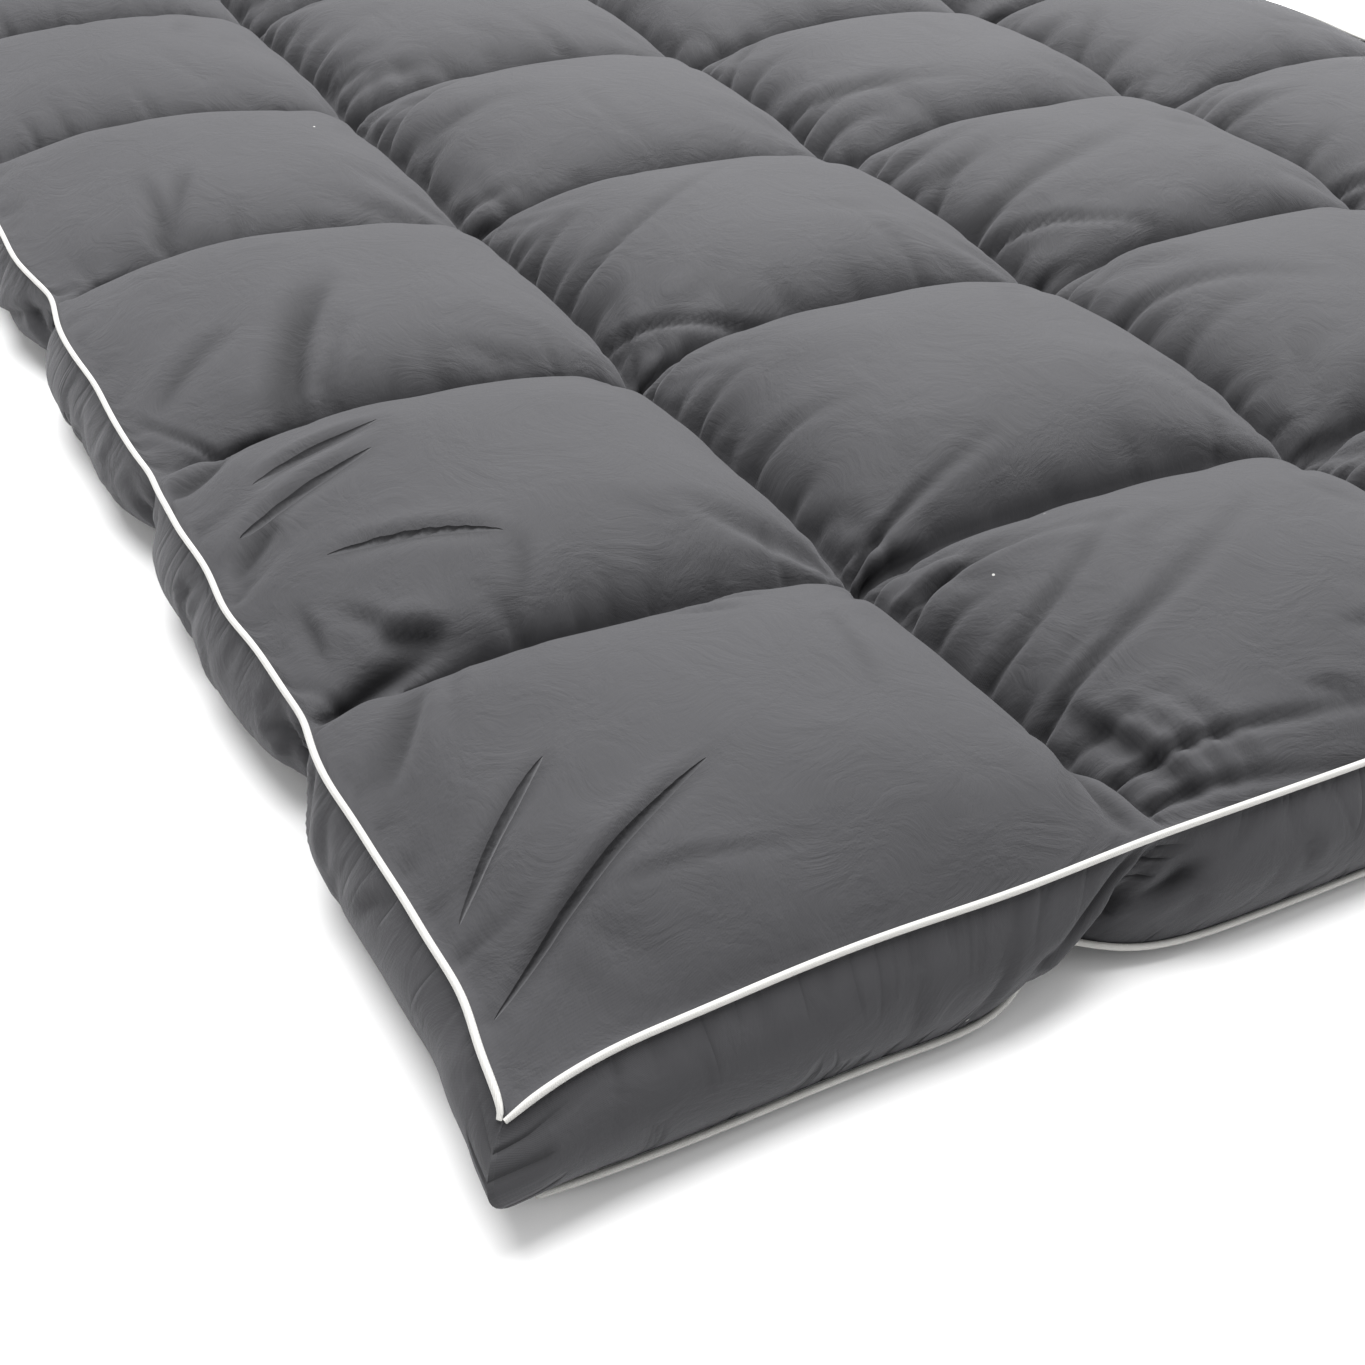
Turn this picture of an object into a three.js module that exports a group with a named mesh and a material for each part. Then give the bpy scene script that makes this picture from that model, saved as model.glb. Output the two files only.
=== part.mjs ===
// A double futon mattress of the baffle-box kind, in millimetres, +Z up.
// Its origin is on the floor under the middle of the mattress, and +Y runs along its length.
//
// Two cloth panels are joined by four border strips. A piped seam runs round the top of the
// borders and another round the bottom. Inside, strips of cloth stand on edge in a slotted grid
// and tie the panels together, so that the mattress is a grid of boxes, and each box holds its
// own pad of loose fibre. The pads swell the top panel into pillows. Their weight flattens the
// bottom panel on the floor, so that only its seams stand clear.
import * as THREE from "three";

// Driving dimensions
const width = 1400; // over the bulge of the left and right borders
const length = 2000; // over the bulge of the front and back borders
const columns = 4; // boxes across the width
const rows = 7; // boxes along the length
const borderHeight = 66; // from the lower piped seam to the upper one
const borderBulge = 8; // how far a border swells out past its piped seams
const lowerSeam = 10; // height of the bottom panel's seams above the floor
const valleyDrop = 6; // the top panel's quilting seams below its piped seam
const crownRise = 46; // the pillows' crowns above the quilting seams
const cloth = 1; // thickness of each cloth piece
const pipingDiameter = 4; // over the tape
const tape = 0.5; // thickness of the piping's tape
const clearance = 0.3; // between two pieces that touch or are sewn together
const fibreClearance = 2; // between a fibre pad and the panel over it
const flatShare = 2 / 3; // share of each box's width that lies flat on the floor

// How finely the curved pieces are made
const borderSteps = 6; // across a border's bulge, an even number
const pipingSides = 8;

// Places that follow from the driving dimensions
const upperSeam = lowerSeam + borderHeight;
const valley = upperSeam - valleyDrop;
const crown = valley + crownRise;
const pipingRadius = pipingDiameter / 2;
const seamX = width / 2 - borderBulge; // the piped seams' lines
const seamY = length / 2 - borderBulge;
const panelX = seamX - pipingRadius - clearance; // the edges of both panels
const panelY = seamY - pipingRadius - clearance;
const boxX = (2 * panelX) / columns;
const boxY = (2 * panelY) / rows;

const colours = {
  panel: { color: 0x4b4b4e, roughness: 0.82, metalness: 0 },
  border: { color: 0x464649, roughness: 0.82, metalness: 0 },
  tape: { color: 0xdcd9d2, roughness: 0.6, metalness: 0 },
  cord: { color: 0xe8e4da, roughness: 0.9, metalness: 0 },
  baffle: { color: 0x6e6e72, roughness: 0.9, metalness: 0 },
  fibre: { color: 0xf1efe9, roughness: 1, metalness: 0 },
};

const { clamp, lerp } = THREE.MathUtils;
const mattress = new THREE.Group();

function addPiece(name, geometry, finish) {
  const piece = new THREE.Mesh(geometry, new THREE.MeshStandardMaterial(finish));
  piece.name = name;
  mattress.add(piece);
}

// --- The shape of the two panels --------------------------------------------------------

// Where a place lies in its box along one axis: -1 and 1 at the box's two seams, 0 midway.
function placeInBox(at, half, box) {
  const fromEdge = clamp((at + half) / box, 0, (2 * half) / box);
  const whole = Math.min(Math.floor(fromEdge), Math.round((2 * half) / box) - 1);
  return 2 * (fromEdge - whole) - 1;
}

// 1 at the panel's edge, falling to 0 one box in from it.
function nearEdge(at, half, box) {
  return clamp(1 - (half - Math.abs(at)) / box, 0, 1);
}

// The top panel's seams: level with the piping at the edge, and lower further in.
function seamHeight(x, y) {
  const edge = Math.max(nearEdge(x, panelX, boxX), nearEdge(y, panelY, boxY));
  return lerp(valley, upperSeam, edge);
}

// The middle of the top panel's cloth, which swells from its seams to a crown in each box.
function topHeight(x, y) {
  const u = placeInBox(x, panelX, boxX);
  const v = placeInBox(y, panelY, boxY);
  const swell = (1 - Math.abs(u) ** 3) * (1 - Math.abs(v) ** 3);
  return lerp(seamHeight(x, y), crown, swell);
}

// The lowest face of the bottom panel: flat on the floor in each box, rising to the seams.
function bottomHeight(x, y) {
  const u = Math.abs(placeInBox(x, panelX, boxX));
  const v = Math.abs(placeInBox(y, panelY, boxY));
  const rise = clamp((Math.max(u, v) - flatShare) / (1 - flatShare), 0, 1);
  return lowerSeam * rise;
}

// Where the corners of the cloth lie across one box, from seam to seam.
const pillowStops = [-1, -flatShare, 0, flatShare, 1];
const flatStops = [-1, -flatShare, flatShare, 1];

// The same stops in each of a row of boxes between two places.
function stopsAcross(low, high, boxes, stops) {
  const box = (high - low) / boxes;
  const across = [low];
  for (let i = 0; i < boxes; i++) {
    for (const stop of stops.slice(1)) across.push(low + (i + (1 + stop) / 2) * box);
  }
  return across;
}

// A closed solid between two heights over a grid of stops. Its upper and lower faces are cut
// into the same triangles, so that a thin cloth keeps its thickness all over.
function between(xs, ys, lower, upper) {
  const plane = new THREE.PlaneGeometry(1, 1, xs.length - 1, ys.length - 1);
  const count = plane.getAttribute("position").count;
  const corners = [];
  for (const height of [upper, lower]) {
    for (let i = 0; i < count; i++) {
      const x = xs[i % xs.length];
      const y = ys[ys.length - 1 - Math.floor(i / xs.length)];
      corners.push(x, y, height(x, y));
    }
  }
  const faces = [];
  const edges = new Set();
  const triangles = plane.getIndex().array;
  for (let i = 0; i < triangles.length; i += 3) {
    const [a, b, c] = triangles.slice(i, i + 3);
    faces.push(a, b, c, c + count, b + count, a + count);
    for (const [from, to] of [[a, b], [b, c], [c, a]]) edges.add(from * count + to);
  }
  for (const edge of edges) {
    const from = Math.floor(edge / count);
    const to = edge % count;
    if (edges.has(to * count + from)) continue;
    faces.push(to, from, from + count, to, from + count, to + count);
  }
  const solid = new THREE.BufferGeometry();
  solid.setAttribute("position", new THREE.Float32BufferAttribute(corners, 3));
  solid.setIndex(faces);
  return solid;
}

function panel(stops, lower) {
  const xs = stopsAcross(-panelX, panelX, columns, stops);
  const ys = stopsAcross(-panelY, panelY, rows, stops);
  return between(xs, ys, lower, (x, y) => lower(x, y) + cloth);
}

addPiece("top_panel", panel(pillowStops, (x, y) => topHeight(x, y) - cloth / 2), colours.panel);
addPiece("bottom_panel", panel(flatStops, bottomHeight), colours.panel);

// --- What runs round the sides ----------------------------------------------------------

// The turn that faces each side outwards, the distance out to its piped seams, and half the
// length of those seams.
const sides = {
  front: { turn: 0, out: seamY, half: seamX },
  right: { turn: Math.PI / 2, out: seamX, half: seamY },
  back: { turn: Math.PI, out: seamY, half: seamX },
  left: { turn: -Math.PI / 2, out: seamX, half: seamY },
};

// Runs a section along one side. The section is drawn with x outwards from the piped seam and
// y up. Its ends are cut at 45 degrees, so that it meets the next side in a mitre.
function alongSide(section, side, steps) {
  const run = new THREE.ExtrudeGeometry(section, {
    depth: 2 * side.half,
    bevelEnabled: false,
    curveSegments: steps / 2,
  });
  const corners = run.getAttribute("position");
  for (let i = 0; i < corners.count; i++) {
    const out = corners.getX(i);
    const end = corners.getZ(i) > side.half ? -1 : 1;
    corners.setXYZ(i, end * (side.half + out - clearance), -side.out - out, corners.getY(i));
  }
  return run.rotateZ(side.turn);
}

// A strip of cloth bowed outwards between the two piped seams.
function borderSection() {
  const chord = borderHeight - pipingDiameter - 2 * clearance;
  const radius = (chord ** 2 / 4 + borderBulge ** 2) / (2 * borderBulge);
  const centre = borderBulge - radius;
  const angle = Math.asin(chord / 2 / radius);
  const middle = (lowerSeam + upperSeam) / 2;
  const section = new THREE.Shape();
  section.absarc(centre, middle, radius, -angle, angle, false);
  section.absarc(centre, middle, radius - cloth, angle, -angle, true);
  return section;
}

function roundSection(height, radius) {
  const section = new THREE.Shape();
  section.absarc(0, height, radius, 0, 2 * Math.PI, false);
  return section;
}

function tapeSection(height) {
  const bore = new THREE.Path();
  bore.absarc(0, height, pipingRadius - tape, 0, 2 * Math.PI, true);
  const section = roundSection(height, pipingRadius);
  section.holes.push(bore);
  return section;
}

const cordRadius = pipingRadius - tape - clearance;

for (const [name, side] of Object.entries(sides)) {
  addPiece(`${name}_border`, alongSide(borderSection(), side, borderSteps), colours.border);
  for (const [level, height] of [["top", upperSeam], ["bottom", lowerSeam]]) {
    const casing = alongSide(tapeSection(height), side, pipingSides);
    const filler = alongSide(roundSection(height, cordRadius), side, pipingSides);
    addPiece(`${level}_piping_${name}`, casing, colours.tape);
    addPiece(`${level}_piping_cord_${name}`, filler, colours.cord);
  }
}

// --- The baffles ------------------------------------------------------------------------

const baffleFoot = lowerSeam + cloth + clearance; // where a baffle stands on the bottom panel
const slotWidth = cloth + 2 * clearance;
const slotEnd = (baffleFoot + valley) / 2; // half the baffle's height, where two slots meet

// A baffle's upper edge, under the top panel's seam.
function baffleTop(at, half, box) {
  return lerp(valley, upperSeam, nearEdge(at, half, box)) - cloth / 2 - clearance;
}

// A baffle seen from its side, x along it and y up. It is slotted where others cross it: from
// its foot on a cross baffle, and from its upper edge on a long one.
function baffleOutline(half, box, crossings, slotsFromFoot) {
  const end = half - clearance;
  const outline = new THREE.Shape();
  outline.moveTo(-end, baffleFoot);
  const slot = (at, open, shut) => {
    outline.lineTo(at[0], open);
    outline.lineTo(at[0], shut);
    outline.lineTo(at[1], shut);
    outline.lineTo(at[1], open);
  };
  for (const at of slotsFromFoot ? crossings : []) {
    slot([at - slotWidth / 2, at + slotWidth / 2], baffleFoot, slotEnd + clearance / 2);
  }
  outline.lineTo(end, baffleFoot);
  outline.lineTo(end, baffleTop(end, half, box));
  const level = half - box - slotWidth / 2; // the ends of the edge's level stretch
  if (slotsFromFoot) {
    outline.lineTo(half - box, baffleTop(half - box, half, box));
    outline.lineTo(box - half, baffleTop(box - half, half, box));
  }
  for (const at of slotsFromFoot ? [] : [...crossings].reverse()) {
    const open = baffleTop(Math.min(Math.abs(at), level), half, box);
    slot([at + slotWidth / 2, at - slotWidth / 2], open, slotEnd - clearance / 2);
  }
  outline.lineTo(-end, baffleTop(-end, half, box));
  return outline;
}

function baffle(outline) {
  const strip = new THREE.ExtrudeGeometry(outline, { depth: cloth, bevelEnabled: false });
  return strip.translate(0, 0, -cloth / 2).rotateX(Math.PI / 2);
}

// The lines between the boxes along one axis.
function seamLines(count, half, box) {
  return Array.from({ length: count - 1 }, (_, i) => (i + 1) * box - half);
}

const columnLines = seamLines(columns, panelX, boxX);
const rowLines = seamLines(rows, panelY, boxY);

columnLines.forEach((x, i) => {
  const strip = baffle(baffleOutline(panelY, boxY, rowLines, false)).rotateZ(Math.PI / 2);
  addPiece(`long_baffle_${i + 1}`, strip.translate(x, 0, 0), colours.baffle);
});

rowLines.forEach((y, i) => {
  const strip = baffle(baffleOutline(panelX, boxX, columnLines, true));
  addPiece(`cross_baffle_${i + 1}`, strip.translate(0, y, 0), colours.baffle);
});

// --- The filling ------------------------------------------------------------------------

// One box's reach along one axis, inside its baffles or the panel's edge.
function insideBox(index, count, half, box) {
  const wall = cloth / 2 + clearance;
  const low = index * box - half + (index > 0 ? wall : clearance);
  const high = (index + 1) * box - half - (index < count - 1 ? wall : clearance);
  return stopsAcross(low, high, 1, pillowStops);
}

for (let row = 0; row < rows; row++) {
  for (let column = 0; column < columns; column++) {
    const xs = insideBox(column, columns, panelX, boxX);
    const ys = insideBox(row, rows, panelY, boxY);
    const foot = (x, y) => bottomHeight(x, y) + cloth + clearance;
    const top = (x, y) => topHeight(x, y) - cloth / 2 - fibreClearance;
    addPiece(`fibre_pad_${row + 1}_${column + 1}`, between(xs, ys, foot, top), colours.fibre);
  }
}

export default mattress;
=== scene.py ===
import math

import bmesh
import bpy
import numpy as np
from mathutils import Matrix, Vector, noise


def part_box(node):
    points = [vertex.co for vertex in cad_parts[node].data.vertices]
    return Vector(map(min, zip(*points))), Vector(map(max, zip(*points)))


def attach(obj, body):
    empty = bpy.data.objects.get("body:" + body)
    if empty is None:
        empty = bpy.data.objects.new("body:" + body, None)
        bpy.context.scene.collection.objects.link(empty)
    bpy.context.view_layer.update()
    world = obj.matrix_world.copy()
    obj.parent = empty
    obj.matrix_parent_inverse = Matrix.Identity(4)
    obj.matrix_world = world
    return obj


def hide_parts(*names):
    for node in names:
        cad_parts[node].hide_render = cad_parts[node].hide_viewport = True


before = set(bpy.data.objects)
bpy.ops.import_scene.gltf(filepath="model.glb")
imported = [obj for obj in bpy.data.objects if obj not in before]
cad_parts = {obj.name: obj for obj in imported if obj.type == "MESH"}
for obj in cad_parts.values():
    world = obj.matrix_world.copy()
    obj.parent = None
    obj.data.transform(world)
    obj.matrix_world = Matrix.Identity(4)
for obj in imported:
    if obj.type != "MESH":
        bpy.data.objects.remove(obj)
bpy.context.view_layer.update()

# --- The casing: how it is cut and sewn -------------------------------------------------
# The casing is two panels and four borders of dark grey microfibre. The panels are also sewn
# to a grid of baffles inside, so the seams lie in straight valleys with pillows between them.
# Where a baffle ends, it is sewn to the border and draws it in.


def middle(node):
    low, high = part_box(node)
    return (Vector(low) + Vector(high)) / 2


panel_low, panel_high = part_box("top_panel")
half_width = panel_high[0]
half_length = panel_high[1]
lower_seam = middle("bottom_piping_front").z
upper_seam = middle("top_piping_front").z
border_height = upper_seam - lower_seam
valley = panel_low[2]  # the top panel is lowest along its quilting seams
columns = 1 + sum(node.startswith("long_baffle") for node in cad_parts)
rows = 1 + sum(node.startswith("cross_baffle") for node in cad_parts)
box_width = 2 * half_width / columns
box_length = 2 * half_length / rows

crown_height = 0.046  # a pillow's crown over its seams
side_squeeze = 1.30  # over 1 where the pillows press against each other over the column seams
row_squeeze = 1.34  # and over the row seams, where they are packed tighter
column_depth = 0.014  # how much deeper the lengthwise seams lie than the cross ones
crossing_depth = 0.008  # and how much deeper still where two seams cross
side_bulge = 0.021  # how far the filling pushes out the borders of the two long sides
end_bulge = 0.016  # and those of the head and the foot
side_draw = 0.007  # how far it draws the upper edges of the long sides in
end_draw = 0.015  # and those of the head and the foot
lower_draw = 0.002  # and all the lower ones
upper_pinch = 0.005  # how far the baffles' ends draw the border in, at its upper edge
side_pinch = 0.016  # and at its lower edge, on the long sides
end_pinch = 0.024  # and at the head and the foot
lower_lift = 0.012  # and how far up they draw the lower edge there
pinch_reach = 0.030
lower_lean = 0.060  # how far aside the first baffle's end draws in the foot's lower edge
sides_tuck = 0.018  # how far the lower edges of the two long sides are rolled under
corner_round = 0.020  # how far the lower corners are rounded off
corner_drop = 0.016  # how far the piping dips at a corner
corner_out = 0.008  # how far the corner reaches out
corner_bulge = 0.006  # and how much further the short sides bulge there
corner_reach = 0.070
flat_topped = (2.4, 2.8)  # powers: how flat-topped a pillow is, across and along
from_seam_power = (0.58, 0.56)  # the smaller, the more steeply it rises from a quilting seam
from_piping_power = 1.05  # and from the piping
first_line = box_width - half_width  # the first lengthwise seam


def wander(x, y, size, scale, layer):
    """Smooth noise over a row of places, from -size to size."""
    return size * np.array([noise.noise((a * scale, b * scale, layer)) for a, b in zip(x, y)])


def place_in_boxes(x, y):
    """The box that each place lies in, and where in it: -1 and 1 at its seams, 0 midway."""
    across = np.clip((x + half_width) / box_width, 0, columns)
    along = np.clip((y + half_length) / box_length, 0, rows)
    column = np.minimum(np.floor(across + 1e-6), columns - 1)
    row = np.minimum(np.floor(along + 1e-6), rows - 1)
    u = np.clip(2 * (across - column) - 1, -1, 1)
    v = np.clip(2 * (along - row) - 1, -1, 1)
    return column.astype(int), row.astype(int), u, v


def seam_drift(x, y):
    """How far the sewing of the lengthwise seams runs off its line, most at the first's foot."""
    near_line = np.exp(-(((x - first_line) / 0.16) ** 2))
    near_front = np.exp(-(y + half_length) / 0.13)
    return 0.014 * near_line * near_front + wander(x, y, 0.006, 4.0, 3.1)


def away_from_edge(u, box, count):
    """1 beside a quilting seam and 0 beside the piping, for a box in a row of count boxes."""
    outer = ((box == 0) & (u < 0)) | ((box == count - 1) & (u > 0))
    return 1 - outer


def pillow_profile(column, row, u, v):
    """0 on the seams and 1 at the crown: steep by the quilting seams, less so by the piping."""
    power_across = np.where(away_from_edge(u, column, columns), from_seam_power[0], from_piping_power)
    power_along = np.where(away_from_edge(v, row, rows), from_seam_power[1], from_piping_power)
    across = (1 - np.abs(u) ** flat_topped[0]) ** power_across
    return across * (1 - np.abs(v) ** flat_topped[1]) ** power_along


def pressed_out(place, half, box, count, squeeze):
    """Moves places in each box out towards its seams, where the cloth turns steeply down."""
    inside = (place + half) / box
    whole = np.clip(np.floor(inside + 1e-6), 0, count - 1)
    u = np.clip(2 * (inside - whole) - 1, -1, 1)
    strength = np.where(away_from_edge(u, whole, count), squeeze, 1.0)
    own = np.sign(u) * (1 - (1 - np.abs(u)) ** strength)
    return (whole + (own + 1) / 2) * box - half


luck = np.random.default_rng(11)
fullness = 1 + 0.10 * luck.uniform(-1, 1, (columns, rows))


def seam_level(x, y, u, v):
    """The height of the top panel's seams: level with the piping at the edge, lower inside."""
    from_edge = np.minimum(half_width - np.abs(x), half_length - np.abs(y))
    inside = np.clip(from_edge / 0.10, 0, 1)
    crossing = np.exp(-(((1 - np.abs(u)) / 0.14) ** 2 + ((1 - np.abs(v)) / 0.16) ** 2))
    sunk = valley - crossing_depth * crossing
    sunk = sunk - column_depth * np.exp(-(((1 - np.abs(u)) / 0.35) ** 2))
    return upper_seam + (sunk - upper_seam) * inside


def shape_top(x, y):
    """The top panel's height: pillows of unequal fullness, a little lumpy."""
    column, row, u, v = place_in_boxes(x, y)
    level = seam_level(x, y, u, v)
    crown = valley + crown_height * fullness[column, row]
    lumps = wander(x, y, 0.0035, 14.0, 5.3) + wander(x, y, 0.002, 30.0, 8.9)
    profile = pillow_profile(column, row, u, v)
    return level + (crown - level) * profile + lumps * np.sqrt(profile)


bottom_sag = 0.016  # how far a box of the bottom panel would hang under its seams


def shape_bottom(x, y):
    """The bottom panel's height: each box hangs from its seams and lies flat on the floor."""
    column, row, u, v = place_in_boxes(x, y)
    return np.maximum(lower_seam - bottom_sag * pillow_profile(column, row, u, v), 0.0)


def edge_moves(x, y, share):
    """How a place on the border moves: share is 0 at its lower edge and 1 at its upper one."""
    _, _, u, v = place_in_boxes(x, y)
    share = np.clip(share, 0, 1)
    on_sides = half_width - np.abs(x) < 1e-4
    on_ends = half_length - np.abs(y) < 1e-4
    corner_distance = np.hypot(half_width - np.abs(x), half_length - np.abs(y))
    corner = np.clip(1 - corner_distance / corner_reach, 0, 1) ** 2
    by_corner = np.exp(-corner_distance / corner_reach)
    along = np.where(on_sides, (1 - np.abs(v)) * box_length / 2, (1 - np.abs(u)) * box_width / 2)
    at_line = np.exp(-((along / pinch_reach) ** 1.5)) * (corner_distance > 0.1)
    wave = np.where(on_sides, 1.0, 0.35) * (1 - corner)
    inward = -corner_out * corner
    inward += wave * (0.4 + 0.6 * share) * wander(x + y * 1.7, y - x, 0.006, 8.0, 1.7)
    # The long sides bulge low down, and the ends and corners about halfway up.
    up = share ** np.where(on_ends, 1.15, 0.75 + 0.4 * by_corner)
    bulge = np.sin(np.pi * up) * (1 - 0.8 * at_line)
    side_in = inward + lower_draw + (side_draw - lower_draw) * share
    side_in += (side_pinch + (upper_pinch - side_pinch) * share) * at_line
    side_in += (sides_tuck + corner_round * corner) * (1 - share) ** 2 - side_bulge * bulge
    end_in = inward + lower_draw + (end_draw - lower_draw) * share
    end_in += (end_pinch * at_line + 0.6 * corner_round * corner) * (1 - share)
    end_in -= (end_bulge + corner_bulge * by_corner) * bulge
    rise = lower_lift * at_line * (1 - share) * on_ends - corner_drop * by_corner * share
    rise += wave * wander(x - y, y + x, 0.003, 9.0, 4.4)
    leaning = np.exp(-(((x - first_line) / 0.13) ** 2)) * (y < 0) * on_ends
    sideways = -np.sign(x) * side_in * on_sides - lower_lean * leaning * (1 - share)
    return sideways, -np.sign(y) * end_in * on_ends, rise


edge_hold = 0.05  # how far in from the piping the top panel still follows it


def carried_in(x, y):
    """How the top panel follows its piped edges, less and less further in."""
    whole_edge = np.ones_like(x)
    side_x, _, side_z = edge_moves(np.copysign(half_width, x), y, whole_edge)
    _, end_y, end_z = edge_moves(x, np.copysign(half_length, y), whole_edge)
    by_side = np.exp(-(half_width - np.abs(x)) / edge_hold)
    by_end = np.exp(-(half_length - np.abs(y)) / edge_hold)
    rise = (side_z * by_side + end_z * by_end) / np.maximum(1, by_side + by_end)
    return np.stack([side_x * by_side, end_y * by_end, rise], axis=1)


# --- The casing: shaped, and swollen by its filling -------------------------------------
# The top panel and the borders are one skin here, as they are once they are sewn together. The
# baffles hold the seams, and the filling presses the cloth between them outwards, which a
# cloth simulation works out. The skin is cut into its sewn pieces afterwards.

cells_across = (50, 36, 26, 22)  # the cloth grid in each column of boxes, finest at one side
cells_along = (42, 34, 28, 24, 20, 18, 18)  # and in each row
border_steps = 10


def grid_lines(cells, box, half, crowding):
    """Where the lines of the cloth grid run: closer together by the seams, as crowding says."""
    lines = [-half]
    for i, count in enumerate(cells):
        share = np.arange(1, count + 1) / count
        eased = share - crowding * np.sin(2 * np.pi * share) / (2 * np.pi)
        lines.extend((i + eased) * box - half)
    return np.array(lines)


lines_across = grid_lines(cells_across, box_width, half_width, 0.35)
lines_along = grid_lines(cells_along, box_length, half_length, 0.20)


def cloth_grid():
    """A flat panel's grid of cloth, with its lines at their places."""
    grid = bmesh.new()
    x_cells, y_cells = len(lines_across) - 1, len(lines_along) - 1
    bmesh.ops.create_grid(grid, x_segments=x_cells, y_segments=y_cells, size=0.5)
    for vert in grid.verts:
        vert.co.x = lines_across[round((vert.co.x + 0.5) * x_cells)]
        vert.co.y = lines_along[round((vert.co.y + 0.5) * y_cells)]
    return grid


def flat_casing():
    """The casing before it is filled: a flat top panel with upright borders round it."""
    skin = cloth_grid()
    bmesh.ops.translate(skin, vec=(0, 0, upper_seam), verts=skin.verts)
    rim = [edge for edge in skin.edges if edge.is_boundary]
    for _ in range(border_steps):
        made = bmesh.ops.extrude_edge_only(skin, edges=rim)["geom"]
        verts = [item for item in made if isinstance(item, bmesh.types.BMVert)]
        rim = [item for item in made if isinstance(item, bmesh.types.BMEdge) and item.is_boundary]
        bmesh.ops.translate(skin, vec=(0, 0, -border_height / border_steps), verts=verts)
    bmesh.ops.recalc_face_normals(skin, faces=skin.faces)
    return skin


def read_places(mesh):
    """The places of a mesh's vertices, one to a row."""
    places = np.empty(3 * len(mesh.vertices))
    mesh.vertices.foreach_get("co", places)
    return places.reshape(-1, 3)


def write_places(mesh, places):
    mesh.vertices.foreach_set("co", places.ravel())
    mesh.update()


def mesh_of(built, name):
    """A mesh from a finished bmesh, which is freed."""
    mesh = bpy.data.meshes.new(name)
    built.to_mesh(mesh)
    built.free()
    return mesh


def new_object(mesh, name):
    made = bpy.data.objects.new(name, mesh)
    bpy.context.scene.collection.objects.link(made)
    return made


casing_mesh = mesh_of(flat_casing(), "casing")
if sum(p.normal.z for p in casing_mesh.polygons) < 0:
    casing_mesh.flip_normals()
casing = new_object(casing_mesh, "casing")
flat = read_places(casing_mesh)
share_up = (flat[:, 2] - lower_seam) / border_height
on_edge = (half_width - np.abs(flat[:, 0]) < 1e-4) | (half_length - np.abs(flat[:, 1]) < 1e-4)
_, _, box_u, box_v = place_in_boxes(flat[:, 0], flat[:, 1])
on_line_x = (1 - np.abs(box_u) < 1e-3) & (half_width - np.abs(flat[:, 0]) > 1e-4)
on_line_y = (1 - np.abs(box_v) < 1e-3) & (half_length - np.abs(flat[:, 1]) > 1e-4)

shaped = flat.copy()
shaped[:, 0] = pressed_out(flat[:, 0], half_width, box_width, columns, side_squeeze)
shaped[:, 1] = pressed_out(flat[:, 1], half_length, box_length, rows, row_squeeze)
shaped[on_edge] = flat[on_edge]
off_sides = np.clip((half_width - np.abs(flat[:, 0])) / 0.05, 0, 1)
shaped[:, 0] += seam_drift(flat[:, 0], flat[:, 1]) * off_sides
shaped[:, 2] = np.where(on_edge, flat[:, 2], shape_top(flat[:, 0], flat[:, 1]))
edge_x, edge_y, edge_z = edge_moves(flat[:, 0], flat[:, 1], share_up)
edge_move = np.stack([edge_x, edge_y, edge_z], axis=1)
shaped += np.where(on_edge[:, None], edge_move, carried_in(flat[:, 0], flat[:, 1]))
write_places(casing_mesh, shaped)

piped = on_edge & ((share_up < 1e-3) | (share_up > 1 - 1e-3))
held = on_line_x | on_line_y | piped


def vertex_group(piece, name, chosen):
    """Groups the vertices that are chosen, and gives back the group's name."""
    group = piece.vertex_groups.new(name=name)
    group.add([int(i) for i in np.flatnonzero(chosen)], 1.0, "REPLACE")
    return group.name


def swell(piece, frames):
    """Lets the filling press the cloth out between the places that are held."""
    cloth = piece.modifiers.new("filling", "CLOTH")
    settings = cloth.settings
    settings.quality = 4
    settings.mass = 0.0008
    settings.air_damping = 4
    settings.tension_stiffness = 20
    settings.compression_stiffness = 20
    settings.shear_stiffness = 4
    settings.bending_stiffness = 0.02
    settings.tension_damping = 1
    settings.compression_damping = 1
    settings.shear_damping = 1
    settings.vertex_group_mass = vertex_group(piece, "held", held)
    settings.vertex_group_shrink = vertex_group(piece, "loose", ~piped)
    settings.shrink_min = 0
    settings.shrink_max = -0.05
    settings.use_pressure = True
    settings.uniform_pressure_force = 8
    settings.effector_weights.gravity = 0
    cloth.collision_settings.use_collision = False
    cloth.point_cache.frame_start = 1
    cloth.point_cache.frame_end = frames
    for step in range(1, frames + 1):
        bpy.context.scene.frame_set(step)
    settled = piece.evaluated_get(bpy.context.evaluated_depsgraph_get())
    places = read_places(settled.to_mesh()).copy()
    settled.to_mesh_clear()
    piece.modifiers.clear()
    piece.vertex_groups.clear()
    bpy.context.scene.frame_set(1)
    return places


longest_move = 0.022  # of any place on the cloth, as it swells
calm_width = 0.05  # beside the piping, which holds the cloth, it moves less
from_rim = np.minimum(half_width - np.abs(flat[:, 0]), half_length - np.abs(flat[:, 1]))
from_piping = np.where(on_edge, border_height * np.minimum(share_up, 1 - share_up) * 2.5, from_rim)
settled = swell(casing, frames=16)
moves = (settled - shaped) * np.clip(from_piping / calm_width, 0, 1)[:, None]
far = np.linalg.norm(moves, axis=1, keepdims=True)
shaped = shaped + moves * np.minimum(1, longest_move / np.maximum(far, 1e-9))
write_places(casing_mesh, shaped)

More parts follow.
